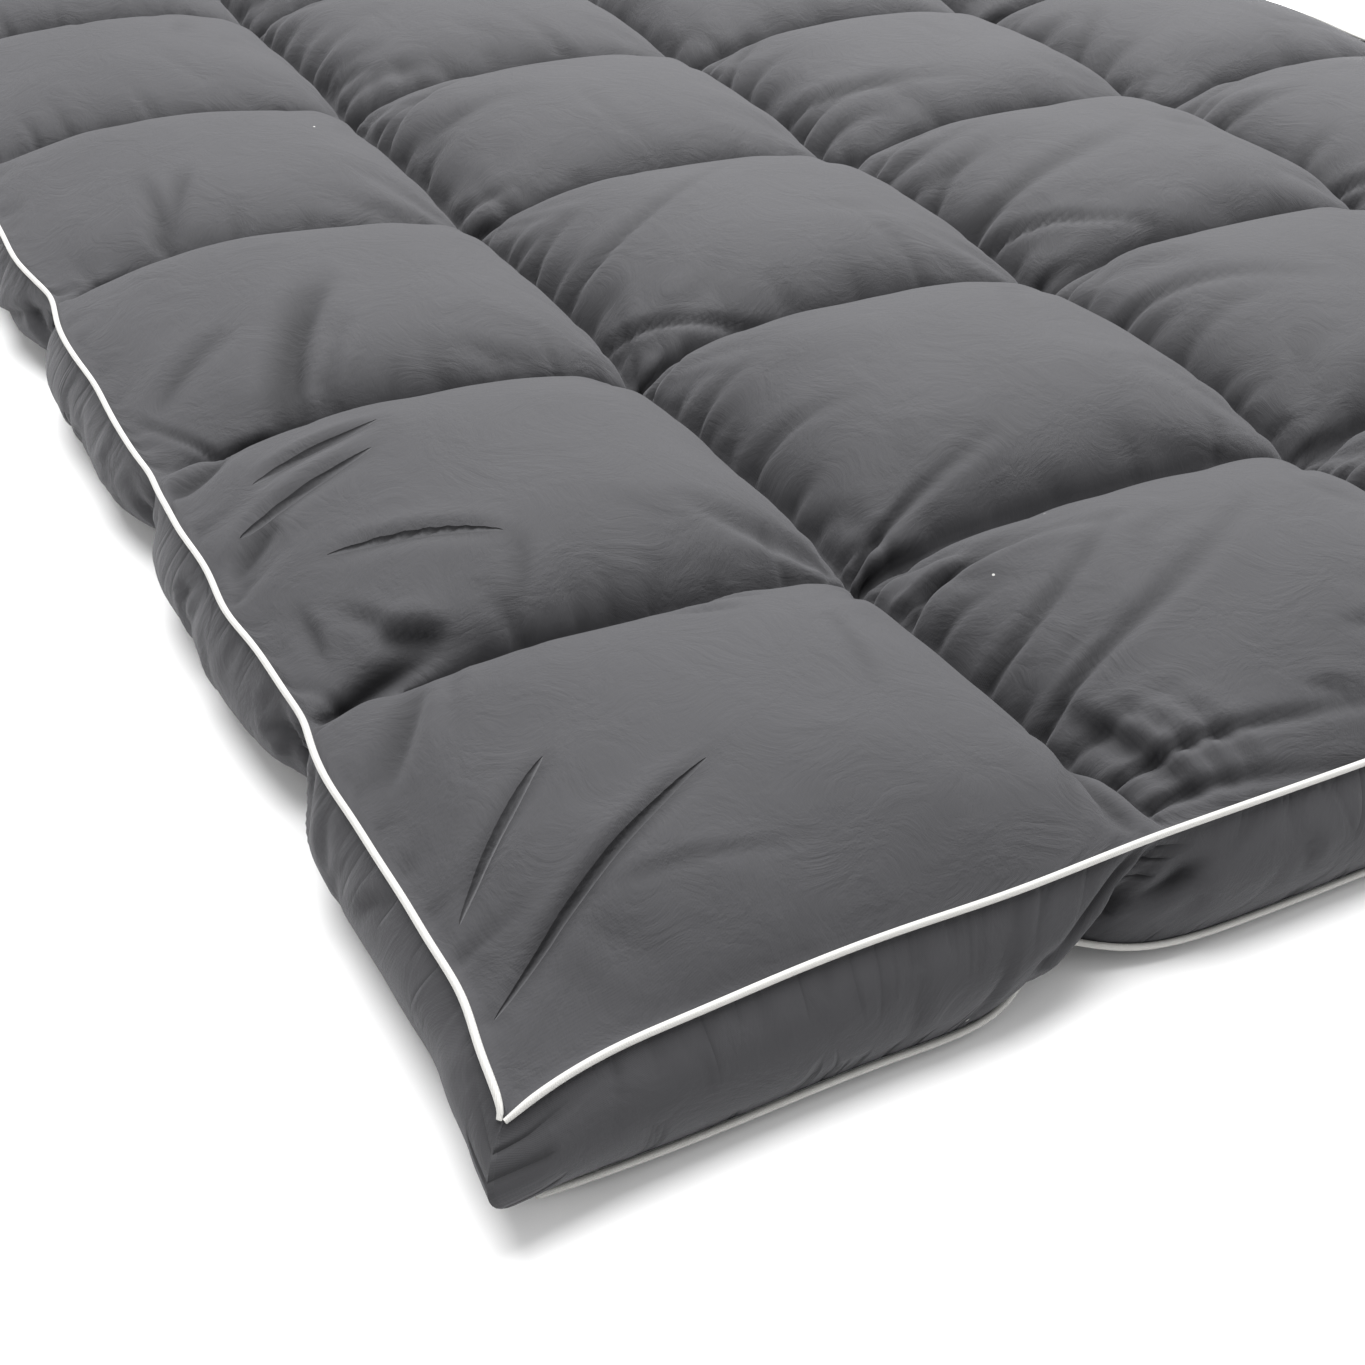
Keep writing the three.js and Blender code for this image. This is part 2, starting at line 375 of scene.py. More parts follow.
# --- Creases ----------------------------------------------------------------------------
# The panels are cut larger than the grid of baffles that they are sewn to, so the cloth is
# gathered into every seam. The gathers run square to the seam and die out up the pillow.
# Longer soft folds cross the pillows where the loose cloth has been dragged about.


def groove(across, width):
    """A crease: 1 along its line, fading to either side with a slight ridge beyond."""
    near = (across / width) ** 2
    return np.exp(-near) - 0.35 * np.exp(-near / 6)


def gathers(along, away, length, spacing, reach, depth, width, dice):
    """How deep the gathers lie along one seam, away being the distance from it."""
    sunk = np.zeros_like(along)
    at = dice.uniform(0, spacing)
    while at < length:
        size = dice.lognormal(-0.35, 0.55)
        own_reach = reach * size
        own_depth = depth * dice.uniform(0.6, 1.2) * min(1, 0.35 + 0.65 * size)
        lean = dice.normal(0, 0.18) + 0.4 * (at / length - 0.5)
        bend = dice.normal(0, 1.6)
        fade = np.clip(1 - away / own_reach, 0, 1) ** 1.2 * np.clip(away / 0.006, 0.3, 1)
        across = along - at - lean * away - bend * away**2
        own_width = width * (0.85 + 0.8 * np.clip(away / own_reach, 0, 1)) * dice.uniform(0.9, 1.5)
        sunk += own_depth * fade * groove(across, own_width)
        at += spacing * dice.uniform(0.45, 1.6)
    return sunk


def fold(x, y, start, end, bend, width, depth):
    """A soft fold in the cloth from start to end, bowed sideways by bend."""
    start, end = np.array(start), np.array(end)
    run = end - start
    length = np.hypot(*run)
    run = run / length
    along = (x - start[0]) * run[0] + (y - start[1]) * run[1]
    share = np.clip(along / length, 0, 1)
    middle_line = bend * 4 * share * (1 - share)
    across = (y - start[1]) * run[0] - (x - start[0]) * run[1] - middle_line
    beyond = np.maximum(np.maximum(-along, along - length), 0)
    fade = np.sin(np.pi * np.clip(share, 0.02, 0.98)) ** 0.7 * np.exp(-((beyond / width) ** 2))
    steep = np.where(across > 0, across / width, across / (1.9 * width))
    return depth * fade * (np.exp(-(steep**2)) - 0.45 * np.exp(-((across / (2.6 * width)) ** 2)))


# The folds of the near corner and of the boxes beside it, in metres from that corner:
# where each starts and ends, how far it bows, its width and its depth.
corner_folds = [
    ((0.015, 0.105), (0.090, 0.160), 0.005, 0.0042, 0.0070),
    ((0.010, 0.050), (0.155, 0.122), 0.003, 0.0048, 0.0085),
    ((0.075, 0.075), (0.172, 0.058), 0.003, 0.0036, 0.0024),
    ((0.200, 0.250), (0.228, 0.220), -0.003, 0.0038, 0.0040),
    ((0.218, 0.260), (0.248, 0.236), -0.002, 0.0038, 0.0034),
    ((0.262, 0.200), (0.243, 0.130), 0.002, 0.0040, 0.0026),
    ((0.070, 0.272), (0.016, 0.190), 0.008, 0.0090, 0.0090),
    ((0.090, 0.270), (0.060, 0.200), 0.004, 0.0050, 0.0040),
    ((0.085, 0.302), (0.006, 0.276), -0.004, 0.0080, 0.0180),
    ((0.060, 0.328), (0.095, 0.306), 0.002, 0.0070, 0.0130),
    ((0.062, 0.398), (0.150, 0.362), 0.004, 0.0046, 0.0070),
    ((0.158, 0.360), (0.130, 0.296), 0.002, 0.0050, 0.0040),
    ((0.032, 0.375), (0.028, 0.330), 0.002, 0.0042, 0.0045),
    ((0.050, 0.360), (0.070, 0.322), 0.002, 0.0042, 0.0045),
    ((0.006, 0.418), (0.052, 0.440), 0.004, 0.0070, 0.0110),
    ((0.026, 0.443), (0.120, 0.460), 0.002, 0.0050, 0.0080),
    ((0.050, 0.478), (0.136, 0.487), 0.004, 0.0055, 0.0090),
    ((0.003, 0.516), (0.050, 0.545), -0.003, 0.0080, 0.0130),
    ((0.046, 0.556), (0.096, 0.566), 0.004, 0.0080, 0.0130),
    ((0.170, 0.700), (0.095, 0.560), -0.010, 0.0110, 0.0130),
    ((0.166, 0.655), (0.118, 0.560), -0.006, 0.0060, 0.0080),
    ((0.022, 0.632), (0.096, 0.682), 0.008, 0.0080, 0.0065),
    ((0.150, 0.958), (0.104, 0.862), -0.004, 0.0070, 0.0070),
    ((0.116, 0.968), (0.100, 0.866), 0.003, 0.0060, 0.0050),
    ((0.010, 0.830), (0.070, 0.852), 0.004, 0.0070, 0.0100),
    ((0.340, 0.085), (0.312, 0.006), -0.004, 0.0065, 0.0110),
    ((0.328, 0.082), (0.284, 0.016), -0.003, 0.0055, 0.0040),
    ((0.366, 0.112), (0.388, 0.010), 0.003, 0.0075, 0.0110),
    ((0.388, 0.095), (0.412, 0.008), 0.002, 0.0052, 0.0060),
    ((0.416, 0.078), (0.426, 0.010), 0.002, 0.0052, 0.0050),
    ((0.362, 0.118), (0.430, 0.140), 0.006, 0.0046, 0.0040),
    ((0.480, 0.052), (0.505, 0.032), 0.002, 0.0050, 0.0050),
    ((0.520, 0.080), (0.560, 0.060), 0.002, 0.0050, 0.0045),
]


def loose_folds(x, y, dice):
    """The folds listed above, and a few in each other box, wherever they happen to fall."""
    sunk = np.zeros_like(x)
    near_corner = np.array([-half_width, -half_length])
    for start, end, bend, width, depth in corner_folds:
        sunk += fold(x, y, start + near_corner, end + near_corner, bend, width, depth)
    for column in range(columns):
        for row in range(rows):
            low = np.array([column * box_width - half_width, row * box_length - half_length])
            outer = column in (0, columns - 1) or row in (0, rows - 1)
            for _ in range(5 if outer else 3):
                start = low + dice.uniform(0.12, 0.88, 2) * (box_width, box_length)
                turn = dice.uniform(0, math.pi)
                reach = dice.uniform(0.04, 0.11)
                end = start + reach * np.array([math.cos(turn), math.sin(turn)])
                bend = 0.15 * reach * dice.normal()
                width = dice.uniform(0.005, 0.009)
                depth = dice.uniform(0.0008, 0.0022)
                if column > 0 or row > 3:  # the nearest four have their own folds, listed above
                    sunk += fold(x, y, start, end, bend, width, depth)
    return sunk


# The gathers past each seam and short of it: their spacing, their reach and their depth.
past_column_seam = (0.025, 0.110, 0.0100)
before_column_seam = (0.034, 0.050, 0.0022)
past_row_seam = (0.030, 0.060, 0.0042)
before_row_seam = (0.036, 0.040, 0.0016)
beside_tape = (0.35, 0.25)  # their share beside the piping, which holds the cloth: side and end


def seam_gathers(along, away, length, kind, share, narrowest, dice):
    """The gathers of one kind along a seam, with their reach and depth scaled by share."""
    spacing, reach, depth = kind
    return gathers(along, away, length, spacing, reach * share, depth * share, narrowest, dice)


def top_creases(x, y):
    """All the folds and gathers of the top panel, box by box."""
    dice = np.random.default_rng(23)
    sunk = loose_folds(x, y, dice)
    box_column, box_row, _, _ = place_in_boxes(x, y)
    for column in range(columns):
        for row in range(rows):
            inside = (box_column == column) & (box_row == row)
            across = x[inside] - (column * box_width - half_width)
            along = y[inside] - (row * box_length - half_length)
            # No gather is narrower than the cloth grid can show.
            narrowest = 0.5 * box_length / cells_along[row] + 0.0006
            calm = beside_tape[0] if column == 0 else 1.0
            own = seam_gathers(along, across, box_length, past_column_seam, calm, narrowest, dice)
            own += seam_gathers(along, box_width - across, box_length, before_column_seam, 1.0,
                                narrowest, dice)
            narrowest = 0.5 * box_width / cells_across[column] + 0.0006
            calm = beside_tape[1] if row == 0 else 1.0
            own += seam_gathers(across, along, box_width, past_row_seam, calm, narrowest, dice)
            own += seam_gathers(across, box_length - along, box_width, before_row_seam, 1.0,
                                narrowest, dice)
            sunk[inside] += own
    return sunk


# --- Top panel --------------------------------------------------------------------------
# The top panel is one piece of cloth, quilted into pillows. It is cut from the casing along
# the piped seam.


def shade_smooth(piece):
    polygons = piece.data.polygons
    polygons.foreach_set("use_smooth", [True] * len(polygons))


def cut_piece(name, keep, creases):
    """Cuts the faces that keep picks out of the casing, refines them and creases them."""
    built = bmesh.new()
    built.from_mesh(casing_mesh)
    cloth_uv = built.loops.layers.uv.new("Cloth")
    built.verts.ensure_lookup_table()
    unwanted = []
    for face in built.faces:
        corners = flat[[vert.index for vert in face.verts]]
        if not keep(corners):
            unwanted.append(face)
        for loop, (x, y, z) in zip(face.loops, corners):
            loop[cloth_uv].uv = unrolled(corners, x, y, z)
    bmesh.ops.delete(built, geom=unwanted, context="FACES")
    rough = new_object(mesh_of(built, name), name + "_rough")
    finer = rough.modifiers.new("finer", "SUBSURF")
    finer.levels = finer.render_levels = 1
    finer.uv_smooth = "NONE"
    evaluated = rough.evaluated_get(bpy.context.evaluated_depsgraph_get())
    piece = new_object(bpy.data.meshes.new_from_object(evaluated), name)
    piece.data.name = name
    bpy.data.objects.remove(rough)
    crease(piece, creases)
    shade_smooth(piece)
    return piece


def unrolled(corners, x, y, z):
    """A place's own place on the flat cloth: a border is unrolled along its length."""
    if np.ptp(corners[:, 0]) < 1e-6:
        return (y, z)
    if np.ptp(corners[:, 1]) < 1e-6:
        return (x, z)
    return (x, y)


def cloth_places(mesh):
    """Each vertex's place on the flat cloth, read from the UV map."""
    loops = len(mesh.loops)
    of_loops = np.empty(2 * loops)
    mesh.uv_layers["Cloth"].data.foreach_get("uv", of_loops)
    vertex = np.empty(loops, dtype=np.int32)
    mesh.loops.foreach_get("vertex_index", vertex)
    places = np.empty((len(mesh.vertices), 2))
    places[vertex] = of_loops.reshape(-1, 2)
    return places[:, 0], places[:, 1]


crease_shade_depth = 0.006  # how deep a crease lies before its painted shade is darkest, as no light reaches its bottom


def crease(piece, creases):
    """Sinks the cloth into its creases, and notes for its material how deep each place lies, for the
    shade painted there.
    """
    mesh = piece.data
    normals = np.empty(3 * len(mesh.vertices))
    mesh.vertices.foreach_get("normal", normals)
    across, along = cloth_places(mesh)
    sunk = creases(across, along)
    dark = np.clip(sunk / crease_shade_depth, 0, 1)
    hollows = mesh.attributes.new("hollows", "FLOAT", "POINT")
    hollows.data.foreach_set("value", dark)
    write_places(mesh, read_places(mesh) - sunk[:, None] * normals.reshape(-1, 3))


def feed(tree, socket, value):
    """Links another node's output to a socket, or sets the socket itself."""
    if isinstance(value, bpy.types.NodeSocket):
        tree.links.new(value, socket)
    else:
        socket.default_value = value


def node(tree, kind, inputs, **settings):
    """Adds a node, and gives back its outputs. Its inputs go by name or by number."""
    made = tree.nodes.new("ShaderNode" + kind)
    for name, value in settings.items():
        setattr(made, name, value)
    for name, value in inputs.items():
        feed(tree, made.inputs[name], value)
    return made.outputs


def maths(tree, operation, *values):
    return node(tree, "Math", dict(enumerate(values)), operation=operation)[0]


def vector_maths(tree, operation, *values):
    return node(tree, "VectorMath", dict(enumerate(values)), operation=operation)[0]


def blend(tree, share, one, other):
    return node(tree, "Mix", {0: share, 6: one, 7: other}, data_type="RGBA")[2]


def use(tree, group, inputs):
    made = tree.nodes.new("ShaderNodeGroup")
    made.node_tree = group
    for name, value in inputs.items():
        feed(tree, made.inputs[name], value)
    return made.outputs


def bumped(tree, height):
    return node(tree, "Bump", {"Height": height, "Strength": 1.0, "Distance": 1.0})["Normal"]


def new_material(name):
    material = bpy.data.materials.new(name)
    material.use_nodes = True
    return material, material.node_tree


def finish_material(tree, settings):
    """Gives the shader its settings, each a value or another node's output."""
    shader = tree.nodes["Principled BSDF"]
    for socket, value in settings.items():
        feed(tree, shader.inputs[socket], value)


def new_group(name, inputs, outputs):
    """A shader node group: the group, what it is given and what it puts out."""
    group = bpy.data.node_groups.new(name, "ShaderNodeTree")
    for socket, value in inputs.items():
        kind = "NodeSocketFloat" if isinstance(value, float) else "NodeSocketVector"
        made = group.interface.new_socket(socket, in_out="INPUT", socket_type=kind)
        made.default_value = value
    for socket in outputs:
        group.interface.new_socket(socket, in_out="OUTPUT", socket_type="NodeSocketFloat")
    given = group.nodes.new("NodeGroupInput").outputs
    out = group.nodes.new("NodeGroupOutput").inputs
    return group, given, out


def plain_weave():
    """Over-and-under threads, with slubs along the yarns. Place is in metres on the cloth."""
    group, given, out = new_group(
        "plain weave", {"Place": (0.0, 0.0, 0.0), "Thread": 0.0004}, ["Height", "Slub"])
    count = maths(group, "DIVIDE", 1.0, given["Thread"])
    threads = node(group, "VectorMath", {0: given["Place"], "Scale": count}, operation="SCALE")[0]
    place = node(group, "SeparateXYZ", {0: threads})
    warp = maths(group, "SINE", maths(group, "MULTIPLY", place["X"], math.pi))
    weft = maths(group, "SINE", maths(group, "MULTIPLY", place["Y"], math.pi))
    slubs = []
    for stretch in ((0.5, 0.012, 1.0), (0.012, 0.5, 1.0)):
        yarn = vector_maths(group, "MULTIPLY", threads, stretch)
        slubs.append(node(group, "TexNoise", {"Vector": yarn, "Scale": 1.0, "Detail": 2.0})["Fac"])
    slub = maths(group, "MULTIPLY", maths(group, "ADD", *slubs), 0.5)
    feed(group, out["Slub"], slub)
    over = maths(group, "MULTIPLY_ADD", maths(group, "MULTIPLY", warp, weft), 0.5, slub)
    feed(group, out["Height"], over)
    return group


def sewn_gathers():
    """The finest gathers beside the seams of a grid of boxes, and the stitches along them.

    Place is in metres on the cloth, Edge is from its middle to its corner, and Box is the
    size of one box. Gathers is 1 in the bottom of a gather, and Stitches is 1 on a stitch.
    """
    group, given, out = new_group(
        "sewn gathers",
        {"Place": (0.0, 0.0, 0.0), "Edge": (1.0, 1.0, 0.0), "Box": (0.3, 0.3, 1.0), "Reach": 0.05},
        ["Gathers", "Stitches"])
    inside = vector_maths(group, "ADD", given["Place"], given["Edge"])
    boxes = vector_maths(group, "DIVIDE", inside, given["Box"])
    place = node(group, "SeparateXYZ", {0: inside})
    box = node(group, "SeparateXYZ", {0: given["Box"]})
    whole = node(group, "SeparateXYZ", {0: vector_maths(group, "FLOOR", boxes)})
    share = node(group, "SeparateXYZ", {0: vector_maths(group, "FRACTION", boxes)})
    own = maths(group, "MULTIPLY_ADD", whole["X"], 3.7, maths(group, "MULTIPLY", whole["Y"], 5.3))
    gathers_of, stitches_of = [], []
    for run, away in (("Y", "X"), ("X", "Y")):
        from_middle = maths(group, "ABSOLUTE", maths(group, "SUBTRACT", share[away], 0.5))
        near = maths(group, "MULTIPLY", maths(group, "SUBTRACT", 0.5, from_middle), box[away])
        far_side = maths(group, "GREATER_THAN", share[away], 0.5)
        layer = maths(group, "MULTIPLY_ADD", far_side, 11.9, own)
        across = maths(group, "MULTIPLY", near, 0.13)
        at = node(group, "CombineXYZ", {"X": place[run], "Y": across, "Z": layer})[0]
        pleats = node(group, "TexNoise", {"Vector": at, "Scale": 44.0, "Detail": 1.5,
                                          "Distortion": 0.7})["Fac"]
        off_line = maths(group, "ABSOLUTE", maths(group, "SUBTRACT", pleats, 0.5))
        line = maths(group, "SUBTRACT", 1.0, maths(group, "MULTIPLY", off_line, 9.0))
        line = maths(group, "POWER", maths(group, "MAXIMUM", line, 0.0), 1.5)
        patch = node(group, "CombineXYZ", {"X": place[run], "Y": layer, "Z": 0.0})[0]
        luck = node(group, "TexNoise", {"Vector": patch, "Scale": 24.0, "Detail": 2.0})["Fac"]
        reach = maths(group, "MULTIPLY", given["Reach"], maths(group, "POWER", luck, 3.0))
        reach = maths(group, "MULTIPLY", reach, 7.0)
        fade = maths(group, "SUBTRACT", 1.0, maths(group, "DIVIDE", near, reach))
        from_end = maths(group, "ABSOLUTE", maths(group, "SUBTRACT", share[run], 0.5))
        clear = maths(group, "MULTIPLY", maths(group, "SUBTRACT", 0.5, from_end), 8.0)
        fade = maths(group, "MULTIPLY", maths(group, "MAXIMUM", fade, 0.0), clear)
        fade = maths(group, "MINIMUM", fade, 1.0)
        fade = maths(group, "MULTIPLY", fade, maths(group, "MULTIPLY_ADD", far_side, -0.7, 1.0))
        gathers_of.append(maths(group, "MULTIPLY", line, fade))
        stitch = maths(group, "FRACT", maths(group, "DIVIDE", place[run], 0.0045))
        on_stitch = maths(group, "LESS_THAN", stitch, 0.72)
        on_seam = maths(group, "LESS_THAN", near, 0.0007)
        stitches_of.append(maths(group, "MULTIPLY", on_stitch, on_seam))
    feed(group, out["Gathers"], maths(group, "MAXIMUM", *gathers_of))
    feed(group, out["Stitches"], maths(group, "MAXIMUM", *stitches_of))
    return group


def handling():
    """What use leaves on cloth: soft crumples, a faint patchiness and a few specks of lint."""
    group, given, out = new_group(
        "handling", {"Place": (0.0, 0.0, 0.0)}, ["Crumples", "Patches", "Lint"])
    crumples = node(group, "TexNoise", {"Vector": given["Place"], "Scale": 26.0, "Detail": 5.0,
                                        "Roughness": 0.62, "Distortion": 0.8})["Fac"]
    ridges = maths(group, "ABSOLUTE", maths(group, "SUBTRACT", crumples, 0.5))
    feed(group, out["Crumples"], maths(group, "MULTIPLY", ridges, 2.0))
    patches = node(group, "TexNoise", {"Vector": given["Place"], "Scale": 7.0, "Detail": 6.0,
                                       "Roughness": 0.65})["Fac"]
    feed(group, out["Patches"], patches)
    specks = node(group, "TexVoronoi", {"Vector": given["Place"], "Scale": 14.0})
    pick = node(group, "SeparateColor", {0: specks["Color"]})[0]
    close = maths(group, "LESS_THAN", specks["Distance"], 0.013)
    picked = maths(group, "GREATER_THAN", pick, 0.86)
    feed(group, out["Lint"], maths(group, "MULTIPLY", close, picked))
    return group


def sharp_fold():
    """The sharp bottom of one fold, from Start to End on the cloth, bowed aside by Bow."""
    group, given, out = new_group(
        "sharp fold",
        {"Place": (0.0, 0.0, 0.0), "Start": (0.0, 0.0, 0.0), "End": (0.1, 0.0, 0.0), "Bow": 0.0,
         "Width": 0.003},
        ["Fold"])
    run = vector_maths(group, "SUBTRACT", given["End"], given["Start"])
    reached = vector_maths(group, "SUBTRACT", given["Place"], given["Start"])
    length = node(group, "VectorMath", {0: run}, operation="LENGTH")["Value"]
    along = node(group, "VectorMath", {0: run, 1: reached}, operation="DOT_PRODUCT")["Value"]
    share = maths(group, "DIVIDE", along, maths(group, "MULTIPLY", length, length))
    share = maths(group, "MAXIMUM", maths(group, "MINIMUM", share, 1.0), 0.0)
    arch = maths(group, "MULTIPLY", share, maths(group, "SUBTRACT", 1.0, share))
    arch = maths(group, "MULTIPLY", arch, 4.0)
    turned = node(group, "SeparateXYZ", {0: vector_maths(group, "CROSS_PRODUCT", run, reached)})
    aside = maths(group, "DIVIDE", turned["Z"], length)
    off = maths(group, "SUBTRACT", aside, maths(group, "MULTIPLY", arch, given["Bow"]))
    width = maths(group, "MULTIPLY_ADD", maths(group, "SQRT", arch), given["Width"], 0.00001)
    off = maths(group, "DIVIDE", off, width)
    fold_depth = maths(group, "SUBTRACT", 1.0, maths(group, "MULTIPLY", off, off))
    feed(group, out["Fold"], maths(group, "MAXIMUM", fold_depth, 0.0))
    return group


weave_group = plain_weave()
fold_group = sharp_fold()
gathers_group = sewn_gathers()
handling_group = handling()


threads_colour = ((0.0248, 0.0246, 0.0265, 1), (0.0398, 0.0396, 0.0425, 1))  # dark and light
# the colour of painted shade in the bottoms of the gathers and folds
fold_shade_colour = (0.010, 0.010, 0.011, 1)
# the colour of painted shade in the deepest creases of the mesh
crease_shade_colour = (0.008, 0.008, 0.009, 1)
stitch_colour = (0.030, 0.030, 0.032, 1)
lint_colour = (0.30, 0.30, 0.29, 1)


def microfibre(name, edge, box, reach, folds=()):
    """The casing's dark grey cloth, sewn in boxes of the given size, with sharp folds in it."""
    material, tree = new_material(name)
    place = node(tree, "UVMap", {}, uv_map="Cloth")["UV"]
    weave = use(tree, weave_group, {"Place": place, "Thread": 0.0004})
    sewn = use(tree, gathers_group, {"Place": place, "Edge": edge, "Box": box, "Reach": reach})
    worn = use(tree, handling_group, {"Place": place})
    gathers_share = 0.0 if folds else sewn["Gathers"]  # the folded panel's are in its mesh
    folded = 0.0
    for start, end, bow, width in folds:
        line = use(tree, fold_group, {
            "Place": place, "Start": start, "End": end, "Bow": bow, "Width": width})["Fold"]
        folded = maths(tree, "MAXIMUM", folded, line)
    slubs = maths(tree, "MULTIPLY", weave["Slub"], 0.5)
    tone = maths(tree, "MULTIPLY_ADD", worn["Patches"], 0.7, slubs)
    colour = blend(tree, tone, *threads_colour)
    # Painted shade in the bottoms of the gathers and of the sharp folds.
    softened = maths(tree, "MULTIPLY", folded, 0.6)
    hollows = maths(tree, "MULTIPLY", maths(tree, "MAXIMUM", gathers_share, softened), 0.70)
    colour = blend(tree, hollows, colour, fold_shade_colour)
    # Painted shade: the deeper a place lies in a crease of the mesh, the darker the cloth is
    # coloured.
    deep = node(tree, "Attribute", {}, attribute_name="hollows")["Fac"]
    deep = maths(tree, "MULTIPLY", deep, 0.85)
    colour = blend(tree, deep, colour, crease_shade_colour)
    colour = blend(tree, sewn["Stitches"], colour, stitch_colour)
    colour = blend(tree, worn["Lint"], colour, lint_colour)
    heights = (  # in metres
        (gathers_share, -0.0022),
        (folded, -0.0022),
        (worn["Crumples"], 0.0012),
        (sewn["Stitches"], 0.0004),
        (weave["Height"], 0.00009),
    )
    total = 0.0
    for height, size in heights:
        total = maths(tree, "MULTIPLY_ADD", height, size, total)
    finish_material(tree, {
        "Base Color": colour, "Normal": bumped(tree, total),
        "Roughness": maths(tree, "MULTIPLY_ADD", weave["Slub"], 0.2, 0.68),
        "Specular IOR Level": 0.15, "Sheen Weight": 0.14, "Sheen Roughness": 0.45,
        "Sheen Tint": (0.64, 0.64, 0.67, 1)})
    return material


# The narrow deep folds are too sharp for the mesh, so the material draws their bottoms, as a bump and
# as painted shade.
sharp_folds = []
for start, end, bend, width, depth in corner_folds:
    if width < 0.006 and depth > 0.0065:
        ends = [(x - half_width, y - half_length, 0) for x, y in (start, end)]
        sharp_folds.append((*ends, bend, 0.6 * width))
panel_cloth = microfibre(
    "panel cloth", (half_width, half_length, 0), (box_width, box_length, 1), 0.060, sharp_folds)
top_panel = cut_piece(
    "quilted_top_panel", lambda corners: corners[:, 2].min() > upper_seam - 1e-4, top_creases)
top_panel.data.materials.append(panel_cloth)
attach(top_panel, "root")
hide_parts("top_panel")

# --- Borders ----------------------------------------------------------------------------
# Four strips of the same cloth, one to a side, meet in a vertical seam at each corner. They
# bulge between the baffles' ends and are puckered under the piping.


# The gathers under the upper seam and over the lower one.
border_gathers = ((0.030, 0.030, 0.0018), (0.034, 0.030, 0.0018))
pucker_width = 0.0046
stray_width = 0.0042


def border_creases(half_run, box, seed):
    """The puckers in one border, which gather where the baffles' ends draw it in."""
    dice = np.random.default_rng(seed)

    def creases(along, height):
        run = along + half_run
        sunk = np.zeros_like(run)
        for away, kind in zip((upper_seam - height, height - lower_seam), border_gathers):
            sunk += seam_gathers(run, away, 2 * half_run, kind, 1.0, 0.0034, dice)
        for line in np.arange(box, 2 * half_run - box / 2, box):
            for _ in range(9):
                top = (line + dice.normal(0, 0.020), upper_seam - dice.uniform(0, 0.02))
                foot = (line + dice.normal(0, 0.035), lower_seam + dice.uniform(-0.01, 0.03))
                sunk += fold(run, height, top, foot, dice.normal(0, 0.006), pucker_width,
                             dice.uniform(0.0030, 0.0080))
            for _ in range(12):
                top = (line + dice.uniform(-0.5, 0.5) * box, upper_seam - dice.uniform(0, 0.03))
                foot = (top[0] + dice.normal(0, 0.02), top[1] - dice.uniform(0.015, 0.045))
                sunk += fold(run, height, top, foot, dice.normal(0, 0.004), stray_width,
                             dice.uniform(0.0015, 0.0050))
        return sunk

    return creases


border_sides = {  # the way that each border faces, half its length and the boxes along it
    "front": ((0, -1), half_width, box_width),
    "right": ((1, 0), half_length, box_length),
    "back": ((0, 1), half_width, box_width),
    "left": ((-1, 0), half_length, box_length),
}


def on_side(facing, places):
    """Whether places on the flat casing lie on the side that faces that way."""
    out = places[..., 0] * facing[0] + places[..., 1] * facing[1]
    return out > abs(facing[0]) * half_width + abs(facing[1]) * half_length - 1e-4


for seed, (side, (facing, half_run, box)) in enumerate(border_sides.items()):
    border = cut_piece(
        side + "_border_cloth",
        lambda corners: on_side(facing, corners).all(),
        border_creases(half_run, box, seed))
    border.data.materials.append(microfibre(
        side + " border cloth", (half_run, -lower_seam, 0), (box, border_height, 1), 0.022))
    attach(border, "root")
    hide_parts(side + "_border")

# --- Bottom panel -----------------------------------------------------------------------
# The bottom panel is quilted to the baffles like the top one. The mattress's weight presses
# each box of it flat, and only the seams stay clear of the floor.

built = cloth_grid()
bmesh.ops.reverse_faces(built, faces=built.faces)
cloth_uv = built.loops.layers.uv.new("Cloth")
for face in built.faces:
    for loop in face.loops:
        loop[cloth_uv].uv = loop.vert.co.xy
bottom_panel = new_object(mesh_of(built, "quilted_bottom_panel"), "quilted_bottom_panel")


def cell_of(places):
    """The row and column of the cloth grid that each place lies on."""
    column = np.interp(places[:, 0], lines_across, np.arange(len(lines_across)))
    row = np.interp(places[:, 1], lines_along, np.arange(len(lines_along)))
    return np.rint(column).astype(int), np.rint(row).astype(int)


under = read_places(bottom_panel.data)
under[:, 2] = shape_bottom(under[:, 0], under[:, 1])
lowest = share_up < 1e-3
pull = np.zeros((len(lines_across), len(lines_along), 3))
resting = flat[lowest].copy()
resting[:, 2] = shape_bottom(resting[:, 0], resting[:, 1])
pull[cell_of(resting)] = shaped[lowest] - resting
for _ in range(90):  # the pull of the borders on the panel dies out inwards
    inner = (pull[:-2, 1:-1] + pull[2:, 1:-1] + pull[1:-1, :-2] + pull[1:-1, 2:]) / 4
    pull[1:-1, 1:-1] = inner * 0.985
under += pull[cell_of(under)]
write_places(bottom_panel.data, under)


column_lines = [i * box_width - half_width for i in range(1, columns)]
row_lines = [i * box_length - half_length for i in range(1, rows)]


def bottom_creases(x, y):
    """The gathers on both sides of the bottom panel's seams."""
    dice = np.random.default_rng(31)
    sunk = np.zeros_like(x)
    for line in column_lines:
        sunk += seam_gathers(y + half_length, np.abs(x - line), 2 * half_length,
                             (0.024, 0.040, 0.0022), 1.0, 0.005, dice)
    for line in row_lines:
        sunk += seam_gathers(x + half_width, np.abs(y - line), 2 * half_width,
                             (0.026, 0.036, 0.0020), 1.0, 0.005, dice)
    return sunk


